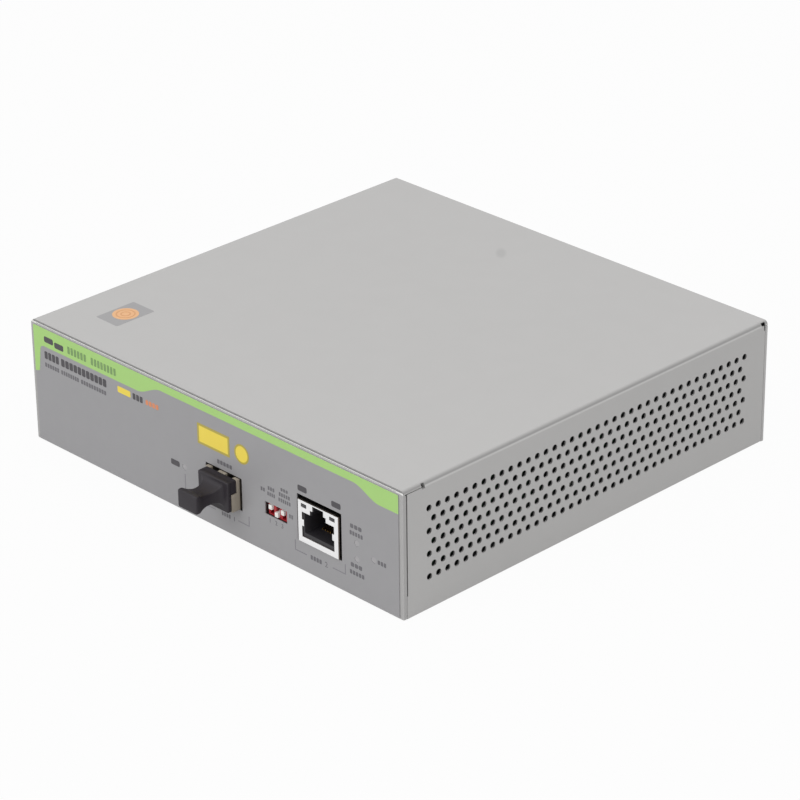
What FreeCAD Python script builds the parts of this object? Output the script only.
"""A mains-powered fibre media converter: a folded steel case with one fibre port and one copper port.

The frame has its origin at the centre of the case's underside, +X to the right along the front panel, +Y
towards the rear panel and +Z up. All sizes are in millimetres.
"""

import FreeCAD, Part
import math
import os
import Sketcher
from FreeCAD import Placement, Rotation, Vector

# Driving dimensions. A place along the front panel is measured from the case's left edge, and a height
# from its underside.
DIMENSIONS = {
    # folded steel case
    "case_width": 159.0,
    "case_depth": 152.4,
    "case_height": 40.0,
    "sheet": 1.0,
    "layer_gap": 0.1,
    "rim": 1.3,
    "rim_bend": 0.35,
    "foot_bend": 0.5,
    "seam": 0.5,
    "top_rim": 0.4,
    "top_rim_drop": 0.5,
    "top_rim_corner": 0.6,
    "top_seam": 0.2,
    "rear_seam": 0.45,
    "cover_bend": 1.4,
    "cover_lift": 0.2,
    "tongue": 9.0,
    "tongue_margin": 7.0,
    "slit_length": 6.2,
    "slit_height": 0.5,
    "slit_drop": 1.0,
    "notch_width": 1.2,
    "notch_height": 1.6,
    "rear_notch_width": 1.35,
    "rear_notch_height": 1.3,
    "rear_slot_width": 0.25,
    "rear_slot_height": 2.4,
    # vents in both side walls
    "vent_side": 1.77,
    "vent_pitch": 3.57,
    "vent_row_pitch": 3.56,
    "vent_columns": 38,
    "far_vent_columns": 16,
    "far_vent_first": 82.0,
    "vent_first": 10.0,
    "vent_lowest": 10.2,
    # tabs and screws that hold the cover to the tray
    "tab_width": 14.0,
    "tab_length": 9.0,
    "tab_from_rear": 36.0,
    "screw_radius": 1.5,
    "screw_head_height": 0.8,
    "screw_length": 4.0,
    "hole_clearance": 0.15,
    # printed film on the front panel
    "film": 0.25,
    "film_inset": 1.45,
    "film_foot": 0.5,
    "film_top": 1.15,
    "film_margin": 0.1,
    # boards and what they stand on
    "board": 1.6,
    "support_height": 7.45,
    "support_radius": 3.5,
    "support_inset": 5.0,
    "tongue_thick": 1.6,
    "tongue_width": 3.0,
    "barb_width": 4.4,
    "barb_height": 2.4,
    "fit": 0.05,
    "board_side_gap": 4.0,
    "board_front_gap": 0.6,
    "main_board_depth": 78.0,
    "boards_apart": 3.0,
    "board_rear_gap": 2.0,
    "liner": 0.4,
    # fibre transceiver
    "fibre_from_left": 86.0,
    "fibre_width": 13.4,
    "fibre_height": 9.8,
    "fibre_proud": 3.2,
    "fibre_step": 2.0,
    "fibre_step_height": 5.6,
    "nose_length": 19.0,
    "can_length": 29.6,
    "can_inset": 0.3,
    "port_pitch": 6.25,
    "port_side": 4.7,
    "port_height": 4.6,
    "port_depth": 9.6,
    "latch_width": 3.2,
    "latch_depth": 6.0,
    "sleeve_radius": 1.25,
    "ferrule_radius": 0.65,
    "sleeve_length": 6.5,
    "fibre_hole_side": 1.0,
    "fibre_hole_top": 0.4,
    "fibre_hole_bottom": 0.3,
    # rubber dust plug
    "cap_width": 12.8,
    "cap_height": 9.7,
    "cap_front": 1.2,
    "plug_gap": 0.1,
    "stub_side": 4.3,
    "stub_length": 7.5,
    "stub_bore": 1.6,
    "grip_width": 7.9,
    "grip_height": 4.7,
    "grip_length": 9.8,
    "grip_raise": 0.45,
    "waist_side": 1.0,
    "waist_top": 1.1,
    "waist_bottom": 1.4,
    "waist_span": 8.4,
    # copper jack
    "jack_from_left": 125.9,
    "jack_width": 16.2,
    "jack_height": 13.15,
    "jack_depth": 25.6,
    "jack_proud": 0.8,
    "jack_hole_side": 0.9,
    "jack_hole_top": 1.3,
    "jack_hole_bottom": 0.45,
    "shell": 0.3,
    "window_width": 13.1,
    "window_floor": 1.75,
    "window_height": 7.9,
    "upper_width": 6.4,
    "upper_height": 1.45,
    "top_width": 4.4,
    "top_height": 1.7,
    "lamp_width": 2.2,
    "lamp_height": 1.2,
    "lamp_apart": 11.5,
    "lamp_floor": 11.1,
    "finger_height": 2.0,
    "finger_reach": 0.8,
    "finger_floor": 5.2,
    "plug_width": 11.7,
    "plug_floor": 3.0,
    "plug_height": 6.4,
    "plug_depth": 14.0,
    "channel_width": 6.0,
    "channel_height": 1.6,
    "key_width": 4.0,
    "key_height": 1.4,
    "contact_pitch": 1.016,
    "contact_width": 0.45,
    "contact_thick": 0.3,
    "contact_start": 5.0,
    "contact_rise": 1.9,
    # three-way switch
    "switch_from_left": 107.95,
    "switch_height": 14.7,
    "switch_recess": 0.6,
    "switch_nose_width": 7.8,
    "switch_nose_height": 3.9,
    "switch_hole_side": 0.6,
    "switch_hole_edge": 0.12,
    "switch_body_width": 9.4,
    "switch_body_depth": 6.0,
    "switch_shoulder": 0.6,
    "lever_pitch": 2.54,
    "lever_width": 1.3,
    "lever_height": 1.4,
    "lever_travel": 1.6,
    "lever_tip": 0.75,
    "lever_foot_width": 2.0,
    "lever_foot_height": 1.6,
    "lever_foot_depth": 1.2,
    "switch_wall": 1.0,
    "lever_clearance": 0.1,
    # light pipes
    "pipe_radius": 0.9,
    "pipe_reach": 6.0,
    "fault_pipe_reach": 9.0,
    "lamp_chip": 0.9,
    "link_from_left": 68.9,
    "link_height": 15.0,
    "fault_from_left": 141.0,
    "fault_height": 17.6,
    "feed_from_left": 141.0,
    "feed_height": 12.6,
    "power_from_left": 147.7,
    "power_height": 15.0,
    # chips and blocks on the main board
    "controller_side": 20.0,
    "controller_thick": 2.0,
    "controller_from_left": 104.0,
    "controller_from_front": 48.0,
    "sink_side": 22.0,
    "sink_base": 2.0,
    "sink_height": 8.0,
    "sink_fin": 1.2,
    "sink_fins": 6,
    "magnetics_width": 16.0,
    "magnetics_depth": 12.0,
    "magnetics_height": 6.0,
    "magnetics_from_left": 130.0,
    "magnetics_from_front": 42.0,
    "crystal_width": 11.0,
    "crystal_depth": 4.6,
    "crystal_height": 3.5,
    "crystal_from_left": 72.0,
    "crystal_from_front": 56.0,
    "board_can_radius": 3.15,
    "board_can_height": 7.7,
    "board_can_from_left": 24.0,
    "board_can_from_front": 30.0,
    "board_can_pitch": 12.0,
    "link_block_from_left": 132.0,
    "link_block_width": 20.0,
    "link_block_depth": 5.0,
    "link_block_height": 6.0,
    # mains inlet in the rear panel
    "inlet_from_left": 34.0,
    "inlet_body_width": 27.0,
    "inlet_body_height": 19.8,
    "inlet_body_depth": 19.0,
    "inlet_flange": 2.4,
    "inlet_lip": 1.8,
    "inlet_recess_width": 24.2,
    "inlet_recess_height": 16.4,
    "inlet_recess_depth": 16.2,
    "inlet_corner": 4.6,
    "blade_width": 2.0,
    "blade_height": 4.0,
    "blade_length": 14.0,
    "blade_apart": 14.0,
    "blade_offset": 4.0,
    # power supply
    "bulk_radius": 9.0,
    "bulk_height": 24.0,
    "bulk_from_left": 64.0,
    "bulk_from_rear": 26.0,
    "core_width": 28.0,
    "core_depth": 12.0,
    "core_height": 22.0,
    "core_from_left": 96.0,
    "core_from_rear": 30.0,
    "core_leg": 8.0,
    "core_side_leg": 4.5,
    "core_yoke": 4.0,
    "winding_proud": 4.5,
    "winding_corner": 3.0,
    "winding_gap": 0.3,
    "plate_thick": 2.0,
    "plate_length": 44.0,
    "plate_height": 22.0,
    "plate_from_left": 104.0,
    "plate_from_rear": 12.0,
    "plate_fin": 1.5,
    "plate_fin_depth": 7.0,
    "plate_fins": 6,
    "transistor_width": 10.0,
    "transistor_thick": 4.5,
    "transistor_height": 15.0,
    "choke_radius": 8.0,
    "choke_height": 14.0,
    "choke_from_left": 22.0,
    "choke_from_rear": 46.0,
    "fuse_radius": 2.6,
    "fuse_length": 20.0,
    "fuse_from_left": 44.0,
    "fuse_from_rear": 52.0,
    "filter_width": 17.0,
    "filter_depth": 7.0,
    "filter_height": 13.0,
    "filter_from_left": 34.0,
    "filter_from_rear": 34.0,
    "output_can_radius": 5.0,
    "output_can_height": 16.0,
    "output_can_from_left": 122.0,
    "output_can_from_rear": 44.0,
    "output_can_pitch": 12.0,
    # sticker on the cover
    "sticker_from_left": 12.5,
    "sticker_from_front": 14.0,
    "sticker_width": 11.3,
    "sticker_depth": 16.2,
    "sticker_thick": 0.1,
}

doc = FreeCAD.newDocument("fibre_media_converter")
sheet = doc.addObject("Spreadsheet::Sheet", "sizes")
for row, (alias, number) in enumerate(DIMENSIONS.items(), start=1):
    sheet.set(f"A{row}", str(number))
    sheet.setAlias(f"A{row}", alias)
doc.recompute()


class Size:
    """A length, with the sheet expression that it follows."""

    def __init__(self, text, number):
        self.text = text
        self.number = number

    def joined(self, sign, other, number):
        return Size(f"({self.text} {sign} {as_size(other).text})", number)

    def __add__(self, other):
        return self.joined("+", other, self.number + as_size(other).number)

    def __sub__(self, other):
        return self.joined("-", other, self.number - as_size(other).number)

    def __mul__(self, other):
        return self.joined("*", other, self.number * as_size(other).number)

    def __truediv__(self, other):
        return self.joined("/", other, self.number / as_size(other).number)

    def __neg__(self):
        return Size(f"(0 - {self.text})", -self.number)


def as_size(value):
    """A plain number as a Size, and a Size as it is."""
    return value if isinstance(value, Size) else Size(str(value), value)


class Sizes:
    """The sheet's cells by name."""

    def __getattr__(self, alias):
        return Size(f"sizes.{alias}", DIMENSIONS[alias])


v = Sizes()
zero = as_size(0)

# The case's faces, from its origin.
left = -(v.case_width / 2)
right = v.case_width / 2
front = -(v.case_depth / 2)
rear = v.case_depth / 2
top = v.case_height
board_base = v.sheet + v.support_height
board_top = board_base + v.board
inner_side = right - v.sheet - v.layer_gap
inner_top = top - v.sheet - v.layer_gap

pieces = {}


def piece(name, made):
    """Keep a finished sub-part under the name that its file gets."""
    made.Label = name
    pieces[name] = made
    return made


def place(made, x, y, z):
    """Bind where an object's own origin lies."""
    for axis, value in zip("xyz", (x, y, z)):
        made.setExpression(f"Placement.Base.{axis}", as_size(value).text)
    return made


def block(name, low, high):
    """A box between two corners."""
    made = doc.addObject("Part::Box", name)
    for side, start, end in zip(("Length", "Width", "Height"), low, high):
        made.setExpression(side, (as_size(end) - start).text)
    return place(made, *low)


def rod(name, foot, radius, length, turn=None):
    """A cylinder that stands on foot and runs along +Z, or along the way that turn gives."""
    made = doc.addObject("Part::Cylinder", name)
    made.setExpression("Radius", as_size(radius).text)
    made.setExpression("Height", as_size(length).text)
    if turn is not None:
        made.Placement = Placement(Vector(), turn)
    return place(made, *foot)


def fused(name, parts):
    made = doc.addObject("Part::MultiFuse", name)
    made.Shapes = parts
    return made


def cut(name, base, tool):
    made = doc.addObject("Part::Cut", name)
    made.Base = base
    made.Tool = tool
    return made


def group(name, parts):
    """Separate solids that share one node."""
    made = doc.addObject("Part::Compound", name)
    made.Links = parts
    return made


def body(name):
    return doc.addObject("PartDesign::Body", name)


def rectangle(x_low, y_low, x_high, y_high):
    return [(x_low, y_low), (x_high, y_low), (x_high, y_high), (x_low, y_high)]


def pin(sketch, curve, end, point):
    """Hold a point of a sketch at bound coordinates."""
    for kind, place_at in zip(("DistanceX", "DistanceY"), point):
        value = as_size(place_at)
        index = sketch.addConstraint(Sketcher.Constraint(kind, -1, 1, curve, end, value.number))
        sketch.setExpression(f"Constraints[{index}]", value.text)


def draw_polygon(sketch, points):
    first = sketch.GeometryCount
    corners = [Vector(as_size(x).number, as_size(y).number, 0) for x, y in points]
    for start, end in zip(corners, corners[1:] + corners[:1]):
        sketch.addGeometry(Part.LineSegment(start, end))
    for index, point in enumerate(points):
        before = first + (index - 1) % len(points)
        sketch.addConstraint(Sketcher.Constraint("Coincident", before, 2, first + index, 1))
        pin(sketch, first + index, 1, point)


def draw_circle(sketch, centre, radius):
    size = as_size(radius)
    x, y = (as_size(value).number for value in centre)
    curve = sketch.addGeometry(Part.Circle(Vector(x, y, 0), Vector(0, 0, 1), size.number))
    pin(sketch, curve, 3, centre)
    index = sketch.addConstraint(Sketcher.Constraint("Radius", curve, size.number))
    sketch.setExpression(f"Constraints[{index}]", size.text)


def sketch_on(host, plane, level, loops, circles=()):
    """A sketch on one of the body's own origin planes, moved out to a level along the plane's axis."""
    sketch = host.newObject("Sketcher::SketchObject", "outline")
    base = next(f for f in host.Origin.OriginFeatures if f.Role == f"{plane}_Plane")
    sketch.AttachmentSupport = [(base, "")]
    sketch.MapMode = "FlatFace"
    # the XZ plane looks along -Y, so a level in +Y is a negative offset
    offset = -level if plane == "XZ" else level
    sketch.setExpression("AttachmentOffset.Base.z", offset.text)
    for points in loops:
        draw_polygon(sketch, points)
    for centre, radius in circles:
        draw_circle(sketch, centre, radius)
    return sketch


def pad(host, plane, start, end, loops=(), circles=()):
    """Material between two levels along the plane's axis."""
    start, end = as_size(start), as_size(end)
    sketch = sketch_on(host, plane, end if plane == "XZ" else start, loops, circles)
    made = host.newObject("PartDesign::Pad", "pad")
    made.Profile = sketch
    made.setExpression("Length", (end - start).text)
    return made


def pocket(host, plane, start, end, loops=(), circles=()):
    """A cut between two levels along the plane's axis."""
    start, end = as_size(start), as_size(end)
    sketch = sketch_on(host, plane, start if plane == "XZ" else end, loops, circles)
    made = host.newObject("PartDesign::Pocket", "pocket")
    made.Profile = sketch
    made.setExpression("Length", (end - start).text)
    return made


def axis_of(host, role):
    return next(f for f in host.Origin.OriginFeatures if f.Role == role)


def repeat(host, feature, axis, count, pitch):
    """Copies of a feature in a line along one of the body's axes."""
    made = host.newObject("PartDesign::LinearPattern", "pattern")
    made.Originals = [feature]
    made.Direction = (axis_of(host, axis), [""])
    made.Mode = "Spacing"
    made.setExpression("Offset", as_size(pitch).text)
    made.setExpression("Occurrences", as_size(count).text)
    made.Refine = False
    host.Tip = made


def edge_names(shape, wanted):
    return [f"Edge{index}" for index, edge in enumerate(shape.Edges, start=1) if wanted(edge)]


def dress(host, kind, size_name, size, wanted):
    """A fillet or chamfer on the edges of the body's last feature that wanted() picks."""
    doc.recompute()
    base = host.Tip
    made = host.newObject(f"PartDesign::{kind}", kind.lower())
    made.Base = (base, edge_names(base.Shape, wanted))
    made.setExpression(size_name, as_size(size).text)
    return made


def runs_through(edge, **places):
    """True for a straight edge that keeps to the given coordinates, such as x and z."""
    if edge.Curve.TypeId != "Part::GeomLine":
        return False
    for axis, place_at in places.items():
        for vertex in edge.Vertexes:
            if abs(getattr(vertex.Point, axis) - as_size(place_at).number) > SAME_PLACE:
                return False
    return True


SAME_PLACE = 0.001
PIPE_SIDES = 8
VENT_ROWS = 7

# Places that more than one piece goes by.
fibre_x = left + v.fibre_from_left
jack_x = left + v.jack_from_left
switch_x = left + v.switch_from_left
cover_front = front + v.rim + v.seam
top_front = front + v.top_rim + v.top_seam
side_rear = rear - v.sheet - v.rear_seam
slit_top = top - v.slit_drop
slit_low = slit_top - v.slit_height
tab_x = right - v.sheet - v.tab_length / 2
tab_y = rear - v.tab_from_rear
hole_radius = v.screw_radius + v.hole_clearance
screw_places = [(-tab_x, tab_y), (tab_x, tab_y)]
main_front = front + v.sheet + v.board_front_gap
main_rear = main_front + v.main_board_depth
power_front = main_rear + v.boards_apart
power_rear = rear - v.sheet - v.board_rear_gap
board_side = right - v.board_side_gap
inlet_x = left + v.inlet_from_left
inlet_z = board_top + v.inlet_body_height / 2
LAMPS = {
    "link": (left + v.link_from_left, v.link_height),
    "fault": (left + v.fault_from_left, v.fault_height),
    "feed": (left + v.feed_from_left, v.feed_height),
    "power": (left + v.power_from_left, v.power_height),
}
# the fault lamp's pipe runs over the feed lamp's and turns down behind it
PIPE_REACHES = {
    "link": v.pipe_reach,
    "fault": v.fault_pipe_reach,
    "feed": v.pipe_reach,
    "power": v.pipe_reach,
}


def front_openings(margin):
    """Outlines of the cut-outs that the panel and its film share, each let out by a margin."""
    fibre_half = v.fibre_width / 2 + v.fibre_hole_side + margin
    jack_half = v.jack_width / 2 + v.jack_hole_side + margin
    switch_half = v.switch_nose_width / 2 + v.switch_hole_side + margin
    switch_edge = v.switch_nose_height / 2 + v.switch_hole_edge + margin
    loops = [
        rectangle(
            fibre_x - fibre_half,
            board_top - v.fibre_hole_bottom - margin,
            fibre_x + fibre_half,
            board_top + v.fibre_height + v.fibre_hole_top + margin,
        ),
        rectangle(
            jack_x - jack_half,
            board_top - v.jack_hole_bottom - margin,
            jack_x + jack_half,
            board_top + v.jack_height + v.jack_hole_top + margin,
        ),
        rectangle(
            switch_x - switch_half,
            v.switch_height - switch_edge,
            switch_x + switch_half,
            v.switch_height + switch_edge,
        ),
    ]
    spots = [eight_sided(lamp, v.pipe_radius + v.hole_clearance + margin) for lamp in LAMPS.values()]
    return loops + spots


def eight_sided(centre, radius):
    """A small round outline with few sides."""
    turns = [math.tau * step / PIPE_SIDES for step in range(PIPE_SIDES)]
    x, z = centre
    return [(x + radius * math.cos(turn), z + radius * math.sin(turn)) for turn in turns]


def base_tray():
    """Floor, front panel and rear panel, folded from one sheet, with tongues that tuck behind the cover."""
    host = body("base_tray")
    pad(host, "XY", zero, v.sheet, [rectangle(-inner_side, front, inner_side, rear)])
    pad(host, "XZ", front, front + v.sheet, [rectangle(left, zero, right, inner_top)])
    for x_low, x_high in ((left, left + v.sheet), (right - v.sheet, right)):
        pad(host, "XY", zero, slit_low, [rectangle(x_low, front, x_high, front + v.rim)])
    # the front panel's top edge is stepped: a thin rim stands in front of the cover's edge
    rim_top = top - v.top_rim_drop
    pad(host, "XZ", front, front + v.top_rim, [rectangle(left, inner_top - v.sheet, right, rim_top)])
    rear_ear_top = slit_low - v.layer_gap
    rear_panel = [
        (left, zero),
        (right, zero),
        (right, rear_ear_top),
        (inner_side, rear_ear_top),
        (inner_side, inner_top),
        (-inner_side, inner_top),
        (-inner_side, rear_ear_top),
        (left, rear_ear_top),
    ]
    pad(host, "XZ", rear - v.sheet, rear, [rear_panel])
    for x_low, x_high in ((-inner_side, v.sheet - inner_side), (inner_side - v.sheet, inner_side)):
        for y_low, y_high in ((front, front + v.tongue), (rear - v.tongue, rear)):
            ears = [rectangle(x_low, y_low, x_high, y_high)]
            pad(host, "XY", v.tongue_margin, top - v.tongue_margin, ears)
    for y_low, y_high in ((front, front + v.tongue), (rear - v.tongue, rear)):
        lip = [rectangle(v.tongue_margin - inner_side, y_low, inner_side - v.tongue_margin, y_high)]
        pad(host, "XY", inner_top - v.sheet, inner_top, lip)
    pocket(host, "XZ", front, front + v.sheet, front_openings(zero))
    half_width = v.inlet_body_width / 2 + v.layer_gap
    half_height = v.inlet_body_height / 2 + v.layer_gap
    inlet_hole = rectangle(
        inlet_x - half_width, inlet_z - half_height, inlet_x + half_width, inlet_z + half_height
    )
    pocket(host, "XZ", rear - v.sheet, rear, [inlet_hole])
    screws = [(screw, hole_radius) for screw in screw_places]
    pocket(host, "XY", zero, v.sheet, circles=screws)

    def countersink(edge):
        return edge.Curve.TypeId == "Part::GeomCircle" and edge.BoundBox.ZMax < SAME_PLACE

    dress(host, "Chamfer", "Size", v.screw_head_height, countersink)

    def rim_corner(edge):
        return runs_through(edge, x=left, z=rim_top) or runs_through(edge, x=right, z=rim_top)

    def folded(edge):
        box = edge.BoundBox
        on_panel = box.YMax < front.number + SAME_PLACE and box.ZMax > SAME_PLACE
        at_side = box.XMin < left.number + SAME_PLACE or box.XMax > right.number - SAME_PLACE
        return on_panel and (at_side or box.ZMax > rim_top.number - SAME_PLACE)

    dress(host, "Fillet", "Radius", v.top_rim_corner, rim_corner)
    dress(host, "Fillet", "Radius", v.rim_bend, folded)
    dress(host, "Fillet", "Radius", v.foot_bend, lambda edge: runs_through(edge, y=front, z=zero))
    return piece("base_tray", host)


def top_cover():
    """Top and both sides, folded from one sheet, with vents punched through the sides."""
    host = body("top_cover")
    profile = [
        (left, v.cover_lift),
        (left + v.sheet, v.cover_lift),
        (left + v.sheet, top - v.sheet),
        (right - v.sheet, top - v.sheet),
        (right - v.sheet, v.cover_lift),
        (right, v.cover_lift),
        (right, top),
        (left, top),
    ]
    pad(host, "XZ", top_front, rear, [profile])
    dress(
        host, "Fillet", "Radius", v.cover_bend,
        lambda edge: runs_through(edge, x=left, z=top) or runs_through(edge, x=right, z=top),
    )
    dress(
        host, "Fillet", "Radius", v.cover_bend - v.sheet,
        lambda edge: runs_through(edge, x=left + v.sheet, z=top - v.sheet)
        or runs_through(edge, x=right - v.sheet, z=top - v.sheet),
    )
    # tabs turned in under the sides, tapped for the screws
    tabs = [
        rectangle(x_low, tab_y - v.tab_width / 2, x_high, tab_y + v.tab_width / 2)
        for x_low, x_high in (
            (left + v.sheet / 2, left + v.sheet + v.tab_length),
            (right - v.sheet - v.tab_length, right - v.sheet / 2),
        )
    ]
    pad(host, "XY", v.sheet, v.sheet * 2, tabs)
    taps = [(screw, v.screw_radius) for screw in screw_places]
    pocket(host, "XY", v.sheet, v.sheet * 2, circles=taps)
    # the sides stop short of both panels, and relief cuts free them from the top at each end
    slit_end = cover_front + v.slit_length
    notch_low = slit_top - v.notch_height / 2
    notch_high = slit_top + v.notch_height / 2
    front_cut = [
        (top_front, v.cover_lift),
        (cover_front, v.cover_lift),
        (cover_front, slit_low),
        (slit_end - v.notch_width / 2, slit_low),
        (slit_end - v.notch_width / 2, notch_low),
        (slit_end + v.notch_width / 2, notch_low),
        (slit_end + v.notch_width / 2, notch_high),
        (slit_end - v.notch_width / 2, notch_high),
        (slit_end - v.notch_width / 2, slit_top),
        (top_front, slit_top),
    ]
    rear_notch_high = slit_low + v.rear_notch_height
    rear_cut = [
        (side_rear, v.cover_lift),
        (rear, v.cover_lift),
        (rear, slit_low),
        (rear - v.sheet, slit_low),
        (rear - v.sheet, rear_notch_high),
        (side_rear - v.rear_notch_width, rear_notch_high),
        (side_rear - v.rear_notch_width, slit_low),
        (side_rear - v.rear_slot_width, slit_low),
        (side_rear - v.rear_slot_width, slit_low - v.rear_slot_height),
        (side_rear, slit_low - v.rear_slot_height),
    ]
    for x_low, x_high in ((left, left + v.cover_bend), (right - v.cover_bend, right)):
        pocket(host, "YZ", x_low, x_high, [front_cut])
        pocket(host, "YZ", x_low, x_high, [rear_cut])
    # Vents: rows of holes, every other row moved on by half a pitch. The far side's field is a short one
    # beside the power supply. Each hole has four sides and the area of the real round one.
    half = v.vent_side / 2

    def vents(y_middle, rows):
        middles = [v.vent_lowest + v.vent_row_pitch * row for row in rows]
        return [rectangle(y_middle - half, z - half, y_middle + half, z + half) for z in middles]

    full_rows = range(0, VENT_ROWS, 2)
    moved_rows = range(1, VENT_ROWS, 2)
    fields = (
        (right - v.sheet, right, front + v.vent_first, v.vent_columns),
        (left, left + v.sheet, front + v.far_vent_first, v.far_vent_columns),
    )
    for x_low, x_high, first_y, columns in fields:
        column = vents(first_y, full_rows) + vents(first_y + v.vent_pitch / 2, moved_rows)
        first = pocket(host, "YZ", x_low, x_high, column)
        repeat(host, first, "Y_Axis", columns - 1, v.vent_pitch)
        last_y = first_y + v.vent_pitch * (columns - 1)
        pocket(host, "YZ", x_low, x_high, vents(last_y, full_rows)).Refine = False
    return piece("top_cover", host)


def cover_screws():
    """Countersunk screws that come up through the tray's floor into the cover's tabs."""
    screws = []
    for x, y in screw_places:
        head = doc.addObject("Part::Cone", "screw_head")
        head.setExpression("Radius1", (v.screw_radius + v.screw_head_height).text)
        head.setExpression("Radius2", v.screw_radius.text)
        head.setExpression("Height", v.screw_head_height.text)
        place(head, x, y, v.layer_gap)
        shank = rod("screw_shank", (x, y, v.layer_gap), v.screw_radius, v.screw_length)
        screws.append(fused("screw", [head, shank]))
    return piece("cover_screws", group("cover_screws", screws))


def front_overlay():
    """Printed film stuck to the front panel, cut out round everything that shows through it."""
    host = body("front_overlay")
    film = rectangle(left + v.film_inset, v.film_foot, right - v.film_inset, top - v.film_top)
    pad(host, "XZ", front - v.film, front, [film])
    pocket(host, "XZ", front - v.film, front, front_openings(v.film_margin))
    return piece("front_overlay", host)


def sticker():
    """Square paper sticker near the cover's front left corner."""
    x_low = left + v.sticker_from_left
    y_low = front + v.sticker_from_front
    made = block(
        "cover_sticker",
        (x_low, y_low, top),
        (x_low + v.sticker_width, y_low + v.sticker_depth, top + v.sticker_thick),
    )
    return piece("cover_sticker", made)


def support_places(y_low, y_high):
    x = board_side - v.support_inset
    return [
        (-x, y_low + v.support_inset),
        (x, y_low + v.support_inset),
        (x, y_high - v.support_inset),
        (-x, y_high - v.support_inset),
    ]


main_supports = support_places(main_front, main_rear)
power_supports = support_places(power_front, power_rear)


def board_supports():
    """Nylon supports: a hexagonal pillar, and a barbed tongue that snaps through a slot in the board."""
    supports = []
    half_thick = v.tongue_thick / 2
    half_width = v.tongue_width / 2
    barb_base = board_top + v.fit
    for x, y in main_supports + power_supports:
        pillar = doc.addObject("Part::Prism", "pillar")
        pillar.Polygon = 6
        pillar.setExpression("Circumradius", v.support_radius.text)
        pillar.setExpression("Height", v.support_height.text)
        place(pillar, x, y, v.sheet)
        low = (x - half_thick, y - half_width, v.sheet)
        neck = block("neck", low, (x + half_thick, y + half_width, barb_base))
        barb = doc.addObject("Part::Wedge", "barb")
        barb.setExpression("Xmin", (-half_thick).text)
        barb.setExpression("X2min", (-half_thick).text)
        barb.setExpression("Xmax", half_thick.text)
        barb.setExpression("X2max", half_thick.text)
        barb.setExpression("Zmin", (-(v.barb_width / 2)).text)
        barb.setExpression("Zmax", (v.barb_width / 2).text)
        barb.setExpression("Z2min", (-(half_width / 2)).text)
        barb.setExpression("Z2max", (half_width / 2).text)
        barb.Ymin = 0
        barb.setExpression("Ymax", v.barb_height.text)
        barb.Placement = Placement(Vector(), Rotation(Vector(1, 0, 0), 90))
        place(barb, x, y, barb_base)
        supports.append(fused("support", [pillar, neck, barb]))
    return piece("board_supports", group("board_supports", supports))


def board(name, y_low, y_high, supports):
    """A glass-fibre board with a slot over each support."""
    host = body(name)
    pad(host, "XY", board_base, board_top, [rectangle(-board_side, y_low, board_side, y_high)])
    half_thick = v.tongue_thick / 2 + v.fit
    half_width = v.tongue_width / 2 + v.fit
    slots = [rectangle(x - half_thick, y - half_width, x + half_thick, y + half_width) for x, y in supports]
    pocket(host, "XY", board_base, board_top, slots)
    return piece(name, host)


def insulating_sheet():
    """Plastic sheet on the floor under the power supply, between the two rows of supports."""
    host = body("insulating_sheet")
    margin = v.support_inset * 2
    pad(host, "XY", v.sheet, v.sheet + v.liner, [rectangle(
        margin - board_side, power_front, board_side - margin, power_rear
    )])
    return piece("insulating_sheet", host)


def at_fibre(made):
    return place(made, fibre_x, front - v.fibre_proud, board_top)


port_places = [(-(v.port_pitch / 2), v.port_height), (v.port_pitch / 2, v.port_height)]


def fibre_receptacle():
    """The transceiver's moulded nose: two square ports, each with a latch slot open at the top."""
    host = body("fibre_receptacle")
    half = v.fibre_width / 2
    pad(host, "XZ", zero, v.nose_length, [rectangle(-half, zero, half, v.fibre_height)])
    pocket(host, "XZ", zero, v.fibre_step, [rectangle(-half, v.fibre_step_height, half, v.fibre_height)])
    side = v.port_side / 2
    ports = [rectangle(x - side, z - side, x + side, z + side) for x, z in port_places]
    pocket(host, "XZ", zero, v.port_depth, ports)
    latch = v.latch_width / 2
    slots = [rectangle(x - latch, z, x + latch, v.fibre_height) for x, z in port_places]
    pocket(host, "XZ", zero, v.latch_depth, slots)
    seats = [(port, v.sleeve_radius) for port in port_places]
    pocket(host, "XZ", v.port_depth, v.port_depth + v.sleeve_length / 2, circles=seats)
    return piece("fibre_receptacle", at_fibre(host))


along_y = Rotation(Vector(1, 0, 0), -90)


def ferrule_sleeves():
    """Ceramic sleeves at the bottom of the ports, half in the moulding and half standing out of it."""
    sleeves = []
    for x, z in port_places:
        foot = (x, v.port_depth - v.sleeve_length / 2, z)
        outside = rod("sleeve", foot, v.sleeve_radius, v.sleeve_length, along_y)
        bore = rod("sleeve_bore", foot, v.ferrule_radius, v.sleeve_length, along_y)
        sleeves.append(cut("ferrule_sleeve", outside, bore))
    return piece("ferrule_sleeves", at_fibre(group("ferrule_sleeves", sleeves)))


def transceiver_can():
    """Metal can over the transceiver's laser, receiver and board."""
    host = body("transceiver_can")
    half = v.fibre_width / 2 - v.can_inset
    start = v.nose_length
    outline = rectangle(-half, zero, half, v.fibre_height - v.can_inset)
    pad(host, "XZ", start, start + v.can_length, [outline])
    return piece("transceiver_can", at_fibre(host))


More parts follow.
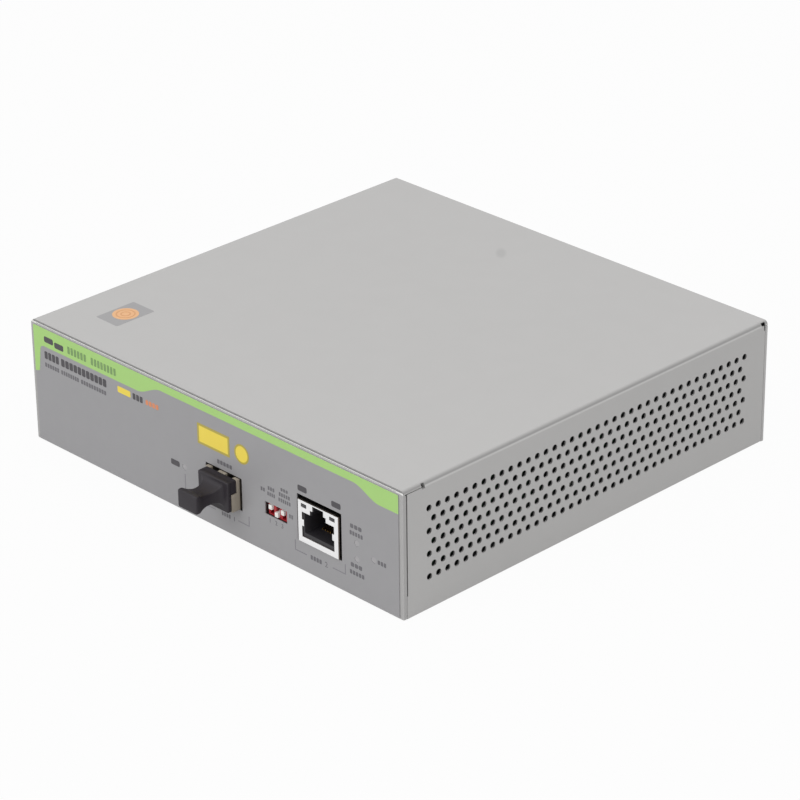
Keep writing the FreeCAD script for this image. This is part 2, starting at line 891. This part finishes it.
def dust_plug():
    """Moulded rubber plug: a waisted grip, a cap that follows the nose's step, and two hollow stubs."""
    host = body("dust_plug")
    cap_back = -v.plug_gap
    cap_face = cap_back - v.cap_front
    grip_face = cap_face - v.grip_length
    middle = v.fibre_height / 2
    grip_middle = middle + v.grip_raise
    half_width = v.grip_width / 2
    half_height = v.grip_height / 2
    grip = rectangle(-half_width, grip_middle - half_height, half_width, grip_middle + half_height)
    pad(host, "XZ", grip_face, cap_back, [grip])
    # each waist is part of a cylinder, sunk by its depth where the grip is narrowest
    waist_y = cap_face - v.waist_span / 2

    def waist_radius(depth):
        return (v.waist_span * v.waist_span / 4 + depth * depth) / (depth * 2)

    upper = waist_radius(v.waist_top)
    lower = waist_radius(v.waist_bottom)
    beside = waist_radius(v.waist_side)
    hollows = [
        ((waist_y, grip_middle + half_height + upper - v.waist_top), upper),
        ((waist_y, grip_middle - half_height - lower + v.waist_bottom), lower),
    ]
    for hollow in hollows:
        pocket(host, "YZ", -half_width, half_width, circles=[hollow])
    for side in (-1, 1):
        centre = ((half_width + beside - v.waist_side) * side, waist_y)
        pocket(host, "XY", grip_middle - half_height, grip_middle + half_height, circles=[(centre, beside)])
    cap_half = v.cap_width / 2
    cap_top = middle + v.cap_height / 2
    cap = rectangle(-cap_half, middle - v.cap_height / 2, cap_half, cap_top)
    pad(host, "XZ", cap_face, cap_back, [cap])
    ledge = rectangle(-cap_half, v.fibre_step_height + v.plug_gap, cap_half, cap_top)
    pad(host, "XZ", cap_back, v.fibre_step - v.plug_gap, [ledge])
    side = v.stub_side / 2
    stubs = [rectangle(x - side, z - side, x + side, z + side) for x, z in port_places]
    pad(host, "XZ", cap_back, v.stub_length, stubs)
    bores = [(port, v.stub_bore) for port in port_places]
    pocket(host, "XZ", v.stub_length - v.sleeve_length, v.stub_length, circles=bores)
    return piece("dust_plug", at_fibre(host))


def at_jack(made):
    return place(made, jack_x, front - v.jack_proud, board_top)


lamp_places = [-(v.lamp_apart / 2), v.lamp_apart / 2]


def stepped_opening(widths, heights, floor):
    """Outline of a socket that narrows in steps towards the top, for the plug and then its latch."""
    right_side = []
    level = floor
    for width, height in zip(widths, heights):
        right_side += [(width / 2, level), (width / 2, level + height)]
        level = level + height
    left_side = [(-x, z) for x, z in reversed(right_side)]
    return right_side + left_side


def jack_shield():
    """Nickel-plated shell, stamped and folded, open underneath, with contact fingers at its mouth."""
    host = body("jack_shield")
    half = v.jack_width / 2
    pad(host, "XZ", zero, v.jack_depth, [rectangle(-half, zero, half, v.jack_height)])
    inner = half - v.shell
    hollow = rectangle(-inner, zero, inner, v.jack_height - v.shell)
    pocket(host, "XZ", v.shell, v.jack_depth - v.shell, [hollow])
    mouth = stepped_opening(
        (v.window_width, v.upper_width, v.top_width),
        (v.window_height, v.upper_height, v.top_height),
        v.window_floor,
    )
    pocket(host, "XZ", zero, v.shell, [mouth])
    lamps = [
        rectangle(x - v.lamp_width / 2, v.lamp_floor, x + v.lamp_width / 2, v.lamp_floor + v.lamp_height)
        for x in lamp_places
    ]
    pocket(host, "XZ", zero, v.shell, lamps)
    edge = v.window_width / 2
    tip = edge - v.finger_reach
    finger_top = v.finger_floor + v.finger_height
    for x_low, x_high in ((-edge, -tip), (tip, edge)):
        pad(host, "XZ", zero, v.shell, [rectangle(x_low, v.finger_floor, x_high, finger_top)])
    return piece("jack_shield", at_jack(host))


def jack_housing():
    """Black moulding inside the shell, with the socket that the network plug goes into."""
    host = body("jack_housing")
    half = v.jack_width / 2 - v.shell - v.fit
    outline = rectangle(-half, zero, half, v.jack_height - v.shell - v.fit)
    pad(host, "XZ", v.shell + v.fit, v.jack_depth - v.shell - v.fit, [outline])
    socket = stepped_opening(
        (v.plug_width, v.channel_width, v.key_width),
        (v.plug_height, v.channel_height, v.key_height),
        v.plug_floor,
    )
    pocket(host, "XZ", v.shell + v.fit, v.plug_depth, [socket])
    return piece("jack_housing", at_jack(host))


def jack_contacts():
    """Eight gold-plated wires that rise towards the back of the socket."""
    host = body("jack_contacts")
    foot = v.plug_floor + v.fit
    wire = [
        (v.contact_start, foot),
        (v.plug_depth, foot + v.contact_rise),
        (v.plug_depth, foot + v.contact_rise + v.contact_thick),
        (v.contact_start, foot + v.contact_thick),
    ]
    first_x = -(v.contact_pitch * (CONTACTS - 1) / 2)
    first = pad(host, "YZ", first_x - v.contact_width / 2, first_x + v.contact_width / 2, [wire])
    repeat(host, first, "X_Axis", as_size(CONTACTS), v.contact_pitch)
    return piece("jack_contacts", at_jack(host))


def jack_lamp(name, x):
    """Clear lens of a lamp beside the latch, behind its window in the shell."""
    low = (x - v.lamp_width / 2 + v.fit, v.fit, v.lamp_floor + v.fit)
    high = (x + v.lamp_width / 2 - v.fit, v.shell, v.lamp_floor + v.lamp_height - v.fit)
    return piece(name, at_jack(group(name, [block("lens", low, high)])))


def at_switch(made, x=zero, z=zero):
    return place(made, switch_x + x, front + v.switch_recess, v.switch_height + z)


CONTACTS = 8
LEVER_PLACES = (-1, 0, 1)
LEVERS_UP = (True, False, True)


def switch_body():
    """Red moulding of the three-way switch: a nose in the panel's cut-out and a block behind it."""
    host = body("switch_body")
    shoulder = v.sheet + v.switch_shoulder - v.switch_recess
    nose_half = v.switch_nose_width / 2
    nose_edge = v.switch_nose_height / 2
    pad(host, "XZ", zero, shoulder, [rectangle(-nose_half, -nose_edge, nose_half, nose_edge)])
    half = v.switch_body_width / 2
    foot = board_top - v.switch_height
    outline = rectangle(-half, foot, half, nose_edge + v.switch_shoulder)
    pad(host, "XZ", shoulder, shoulder + v.switch_body_depth, [outline])
    slot_half = v.lever_width / 2 + v.lever_clearance
    slot_edge = (v.lever_height + v.lever_travel) / 2 + v.lever_clearance
    foot_half = v.lever_foot_width / 2 + v.lever_clearance
    foot_edge = (v.lever_foot_height + v.lever_travel) / 2 + v.lever_clearance
    slots = []
    hollows = []
    for step in LEVER_PLACES:
        x = v.lever_pitch * step
        slots.append(rectangle(x - slot_half, -slot_edge, x + slot_half, slot_edge))
        hollows.append(rectangle(x - foot_half, -foot_edge, x + foot_half, foot_edge))
    pocket(host, "XZ", zero, v.switch_wall, slots)
    pocket(host, "XZ", v.switch_wall, v.switch_wall + v.lever_foot_depth + v.lever_clearance * 2, hollows)
    return piece("switch_body", at_switch(host))


def switch_lever(number, step, up):
    """White slider: a tip that sticks out of its slot, and a foot that keeps it in."""
    host = body(f"switch_lever_{number}")
    tip_half = v.lever_width / 2
    tip_edge = v.lever_height / 2
    behind = v.switch_wall + v.lever_clearance
    pad(host, "XZ", -v.lever_tip, behind, [rectangle(-tip_half, -tip_edge, tip_half, tip_edge)])
    foot_half = v.lever_foot_width / 2
    foot_edge = v.lever_foot_height / 2
    outline = rectangle(-foot_half, -foot_edge, foot_half, foot_edge)
    pad(host, "XZ", behind, behind + v.lever_foot_depth, [outline])
    half_travel = v.lever_travel / 2
    at_switch(host, v.lever_pitch * step, half_travel if up else -half_travel)
    return piece(f"switch_lever_{number}", host)


def light_pipe(name, x, z, reach):
    """Clear moulding that brings a board lamp's light up and out to a round spot in the panel."""
    back = front + reach
    width = v.pipe_radius
    spot = doc.addObject("Part::Prism", "spot")
    spot.Polygon = PIPE_SIDES
    spot.setExpression("Circumradius", v.pipe_radius.text)
    spot.setExpression("Height", (reach + v.film).text)
    spot.Placement = Placement(Vector(), along_y)
    place(spot, x, front - v.film, z)
    low = (x - width, back - width * 2, board_top + v.lamp_chip)
    leg = block("leg", low, (x + width, back, z))
    return piece(name, fused(name, [spot, leg]))


def board_lamps():
    """The four surface-mounted lamps under the light pipes."""
    lamps = []
    for name, (x, _) in LAMPS.items():
        middle = front + PIPE_REACHES[name] - v.pipe_radius
        low = (x - v.lamp_chip, middle - v.lamp_chip, board_top)
        lamps.append(block("lamp", low, (x + v.lamp_chip, middle + v.lamp_chip, board_top + v.lamp_chip)))
    return piece("board_lamps", group("board_lamps", lamps))


def on_board(name, x, y, width, depth, height):
    """A block that stands on a board, centred at x and y."""
    low = (x - width / 2, y - depth / 2, board_top)
    return block(name, low, (x + width / 2, y + depth / 2, board_top + height))


def controller_chip():
    """Flat black chip that bridges the two ports."""
    x = left + v.controller_from_left
    y = front + v.controller_from_front
    made = on_board("controller_chip", x, y, v.controller_side, v.controller_side, v.controller_thick)
    return piece("controller_chip", made)


def chip_heat_sink():
    """Finned aluminium block stuck on the chip."""
    host = body("chip_heat_sink")
    half = v.sink_side / 2
    pad(host, "XY", zero, v.sink_base, [rectangle(-half, -half, half, half)])
    fin = rectangle(-half, -half, v.sink_fin - half, half)
    first = pad(host, "XY", v.sink_base, v.sink_height, [fin])
    pitch = (v.sink_side - v.sink_fin) / (v.sink_fins - 1)
    repeat(host, first, "X_Axis", v.sink_fins, pitch)
    x = left + v.controller_from_left
    y = front + v.controller_from_front
    return piece("chip_heat_sink", place(host, x, y, board_top + v.controller_thick))


def line_magnetics():
    """Potted line transformer behind the copper jack."""
    x = left + v.magnetics_from_left
    y = front + v.magnetics_from_front
    made = on_board("line_magnetics", x, y, v.magnetics_width, v.magnetics_depth, v.magnetics_height)
    return piece("line_magnetics", made)


def clock_crystal():
    """Crystal in a low metal can."""
    x = left + v.crystal_from_left
    y = front + v.crystal_from_front
    made = on_board("clock_crystal", x, y, v.crystal_width, v.crystal_depth, v.crystal_height)
    return piece("clock_crystal", made)


def cans(name, x, y, radius, height, pitch, count):
    """A row of round capacitors."""
    made = [rod("can", (x, y + pitch * step, board_top), radius, height) for step in range(count)]
    return piece(name, group(name, made))


def supply_link():
    """Board-to-board connector that carries the supply forward across the gap."""
    x = left + v.link_block_from_left
    half = v.link_block_width / 2
    low = (x - half, main_rear - v.link_block_depth, board_top)
    high = (x + half, power_front + v.link_block_depth, board_top + v.link_block_height)
    return piece("supply_link", block("supply_link", low, high))


def mains_inlet():
    """Moulded three-pin inlet, clipped into the rear panel, with a shaped recess for the lead's plug."""
    host = body("mains_inlet")
    half_width = v.inlet_body_width / 2
    half_height = v.inlet_body_height / 2
    shell = rectangle(-half_width, -half_height, half_width, half_height)
    pad(host, "XZ", -v.inlet_body_depth, zero, [shell])
    lip_width = half_width + v.inlet_lip
    lip_height = half_height + v.inlet_lip
    lip = rectangle(-lip_width, -lip_height, lip_width, lip_height)
    pad(host, "XZ", zero, v.inlet_flange, [lip])
    wide = v.inlet_recess_width / 2
    high = v.inlet_recess_height / 2
    recess = [
        (-wide, -high),
        (wide, -high),
        (wide, high - v.inlet_corner),
        (wide - v.inlet_corner, high),
        (v.inlet_corner - wide, high),
        (-wide, high - v.inlet_corner),
    ]
    pocket(host, "XZ", v.inlet_flange - v.inlet_recess_depth, v.inlet_flange, [recess])
    return piece("mains_inlet", place(host, inlet_x, rear, inlet_z))


def inlet_blades():
    """Line, neutral and earth blades, standing on the bottom of the recess."""
    bottom = v.inlet_flange - v.inlet_recess_depth
    places = (
        (-(v.blade_apart / 2), -(v.blade_offset / 2)),
        (v.blade_apart / 2, -(v.blade_offset / 2)),
        (zero, v.blade_offset / 2),
    )
    half_width = v.blade_width / 2
    half_height = v.blade_height / 2
    blades = []
    for x, z in places:
        low = (x - half_width, bottom, z - half_height)
        blades.append(block("blade", low, (x + half_width, bottom + v.blade_length, z + half_height)))
    return piece("inlet_blades", place(group("inlet_blades", blades), inlet_x, rear, inlet_z))


def supply_place(from_left, from_rear):
    return left + from_left, rear - from_rear


def bulk_capacitor():
    """Large mains reservoir capacitor."""
    x, y = supply_place(v.bulk_from_left, v.bulk_from_rear)
    return piece("bulk_capacitor", rod("bulk_capacitor", (x, y, board_top), v.bulk_radius, v.bulk_height))


def transformer_core():
    """Ferrite core with a window on each side of its middle leg."""
    host = body("transformer_core")
    half = v.core_width / 2
    pad(host, "XZ", -(v.core_depth / 2), v.core_depth / 2, [rectangle(-half, zero, half, v.core_height)])
    windows = [
        rectangle(-(half - v.core_side_leg), v.core_yoke, -(v.core_leg / 2), v.core_height - v.core_yoke),
        rectangle(v.core_leg / 2, v.core_yoke, half - v.core_side_leg, v.core_height - v.core_yoke),
    ]
    pocket(host, "XZ", -(v.core_depth / 2), v.core_depth / 2, windows)
    x, y = supply_place(v.core_from_left, v.core_from_rear)
    return piece("transformer_core", place(host, x, y, board_top))


def transformer_winding():
    """Taped winding on its bobbin, round the core's middle leg."""
    host = body("transformer_winding")
    wide = v.core_width / 2 - v.core_side_leg - v.winding_gap
    deep = v.core_depth / 2 + v.winding_proud
    low = v.core_yoke
    high = v.core_height - v.core_yoke - v.winding_gap
    pad(host, "XY", low, high, [rectangle(-wide, -deep, wide, deep)])

    def corner(edge):
        return any(runs_through(edge, x=wide * a, y=deep * b) for a in (-1, 1) for b in (-1, 1))

    dress(host, "Fillet", "Radius", v.winding_corner, corner)
    leg = v.core_leg / 2 + v.winding_gap
    through = v.core_depth / 2 + v.winding_gap
    pocket(host, "XY", low, high, [rectangle(-leg, -through, leg, through)])
    x, y = supply_place(v.core_from_left, v.core_from_rear)
    return piece("transformer_winding", place(host, x, y, board_top))


def plate_place():
    x, y = supply_place(v.plate_from_left, v.plate_from_rear)
    return x, y, board_top


def supply_heat_sink():
    """Aluminium plate with upright fins along one side."""
    host = body("supply_heat_sink")
    pad(host, "XY", zero, v.plate_height, [rectangle(zero, zero, v.plate_length, v.plate_thick)])
    fin = rectangle(zero, -v.plate_fin_depth, v.plate_fin, zero)
    first = pad(host, "XY", zero, v.plate_height, [fin])
    pitch = (v.plate_length - v.plate_fin) / (v.plate_fins - 1)
    repeat(host, first, "X_Axis", v.plate_fins, pitch)
    return piece("supply_heat_sink", place(host, *plate_place()))


def switching_transistor():
    """Transistor clamped to the back of the heat sink."""
    host = body("switching_transistor")
    middle = v.plate_length / 2
    half = v.transistor_width / 2
    outline = rectangle(middle - half, v.plate_thick, middle + half, v.plate_thick + v.transistor_thick)
    pad(host, "XY", zero, v.transistor_height, [outline])
    return piece("switching_transistor", place(host, *plate_place()))


def mains_choke():
    """Common-mode choke, wound on an upright former."""
    x, y = supply_place(v.choke_from_left, v.choke_from_rear)
    return piece("mains_choke", rod("mains_choke", (x, y, board_top), v.choke_radius, v.choke_height))


def mains_fuse():
    """Glass fuse lying across the board."""
    x, y = supply_place(v.fuse_from_left, v.fuse_from_rear)
    turn = Rotation(Vector(0, 1, 0), 90)
    foot = (x - v.fuse_length / 2, y, board_top + v.fuse_radius)
    return piece("mains_fuse", rod("mains_fuse", foot, v.fuse_radius, v.fuse_length, turn))


def filter_capacitor():
    """Boxed film capacitor across the mains."""
    x, y = supply_place(v.filter_from_left, v.filter_from_rear)
    made = on_board("filter_capacitor", x, y, v.filter_width, v.filter_depth, v.filter_height)
    return piece("filter_capacitor", made)


base_tray()
top_cover()
cover_screws()
front_overlay()
sticker()
board_supports()
board("main_board", main_front, main_rear, main_supports)
board("power_board", power_front, power_rear, power_supports)
insulating_sheet()
fibre_receptacle()
ferrule_sleeves()
transceiver_can()
dust_plug()
jack_shield()
jack_housing()
jack_contacts()
jack_lamp("jack_lamp_left", lamp_places[0])
jack_lamp("jack_lamp_right", lamp_places[1])
switch_body()
for number, (step, up) in enumerate(zip(LEVER_PLACES, LEVERS_UP), start=1):
    switch_lever(number, step, up)
for lamp, (lamp_x, lamp_z) in LAMPS.items():
    light_pipe(f"light_pipe_{lamp}", lamp_x, lamp_z, PIPE_REACHES[lamp])
board_lamps()
controller_chip()
chip_heat_sink()
line_magnetics()
clock_crystal()
cans(
    "board_capacitors", left + v.board_can_from_left, front + v.board_can_from_front,
    v.board_can_radius, v.board_can_height, v.board_can_pitch, 2,
)
supply_link()
mains_inlet()
inlet_blades()
bulk_capacitor()
transformer_core()
transformer_winding()
supply_heat_sink()
switching_transistor()
mains_choke()
mains_fuse()
filter_capacitor()
cans(
    "output_capacitors", left + v.output_can_from_left, rear - v.output_can_from_rear,
    v.output_can_radius, v.output_can_height, -v.output_can_pitch, 2,
)
doc.recompute()


def check_document():
    """Stop before anything is written if a feature failed, cut nothing or left a broken solid."""
    failed = [made for made in doc.Objects if "Invalid" in made.State or "Error" in made.State]
    if failed:
        raise RuntimeError("; ".join(f"{made.Name} in {made.getParent()}" for made in failed))
    for made in doc.Objects:
        if made.TypeId == "PartDesign::Pocket":
            before = made.BaseFeature.Shape.Volume
            if not made.Shape.Volume < before:
                raise RuntimeError(f"{made.Name} cuts nothing")
    for name, made in pieces.items():
        if made.Shape.isNull() or not made.Shape.isValid() or not made.Shape.Solids:
            raise RuntimeError(f"{name} has no valid solid")


check_document()
os.makedirs("parts", exist_ok=True)
for name, made in pieces.items():
    made.Shape.exportStep(f"parts/{name}.step")
print(len(pieces), "pieces written")
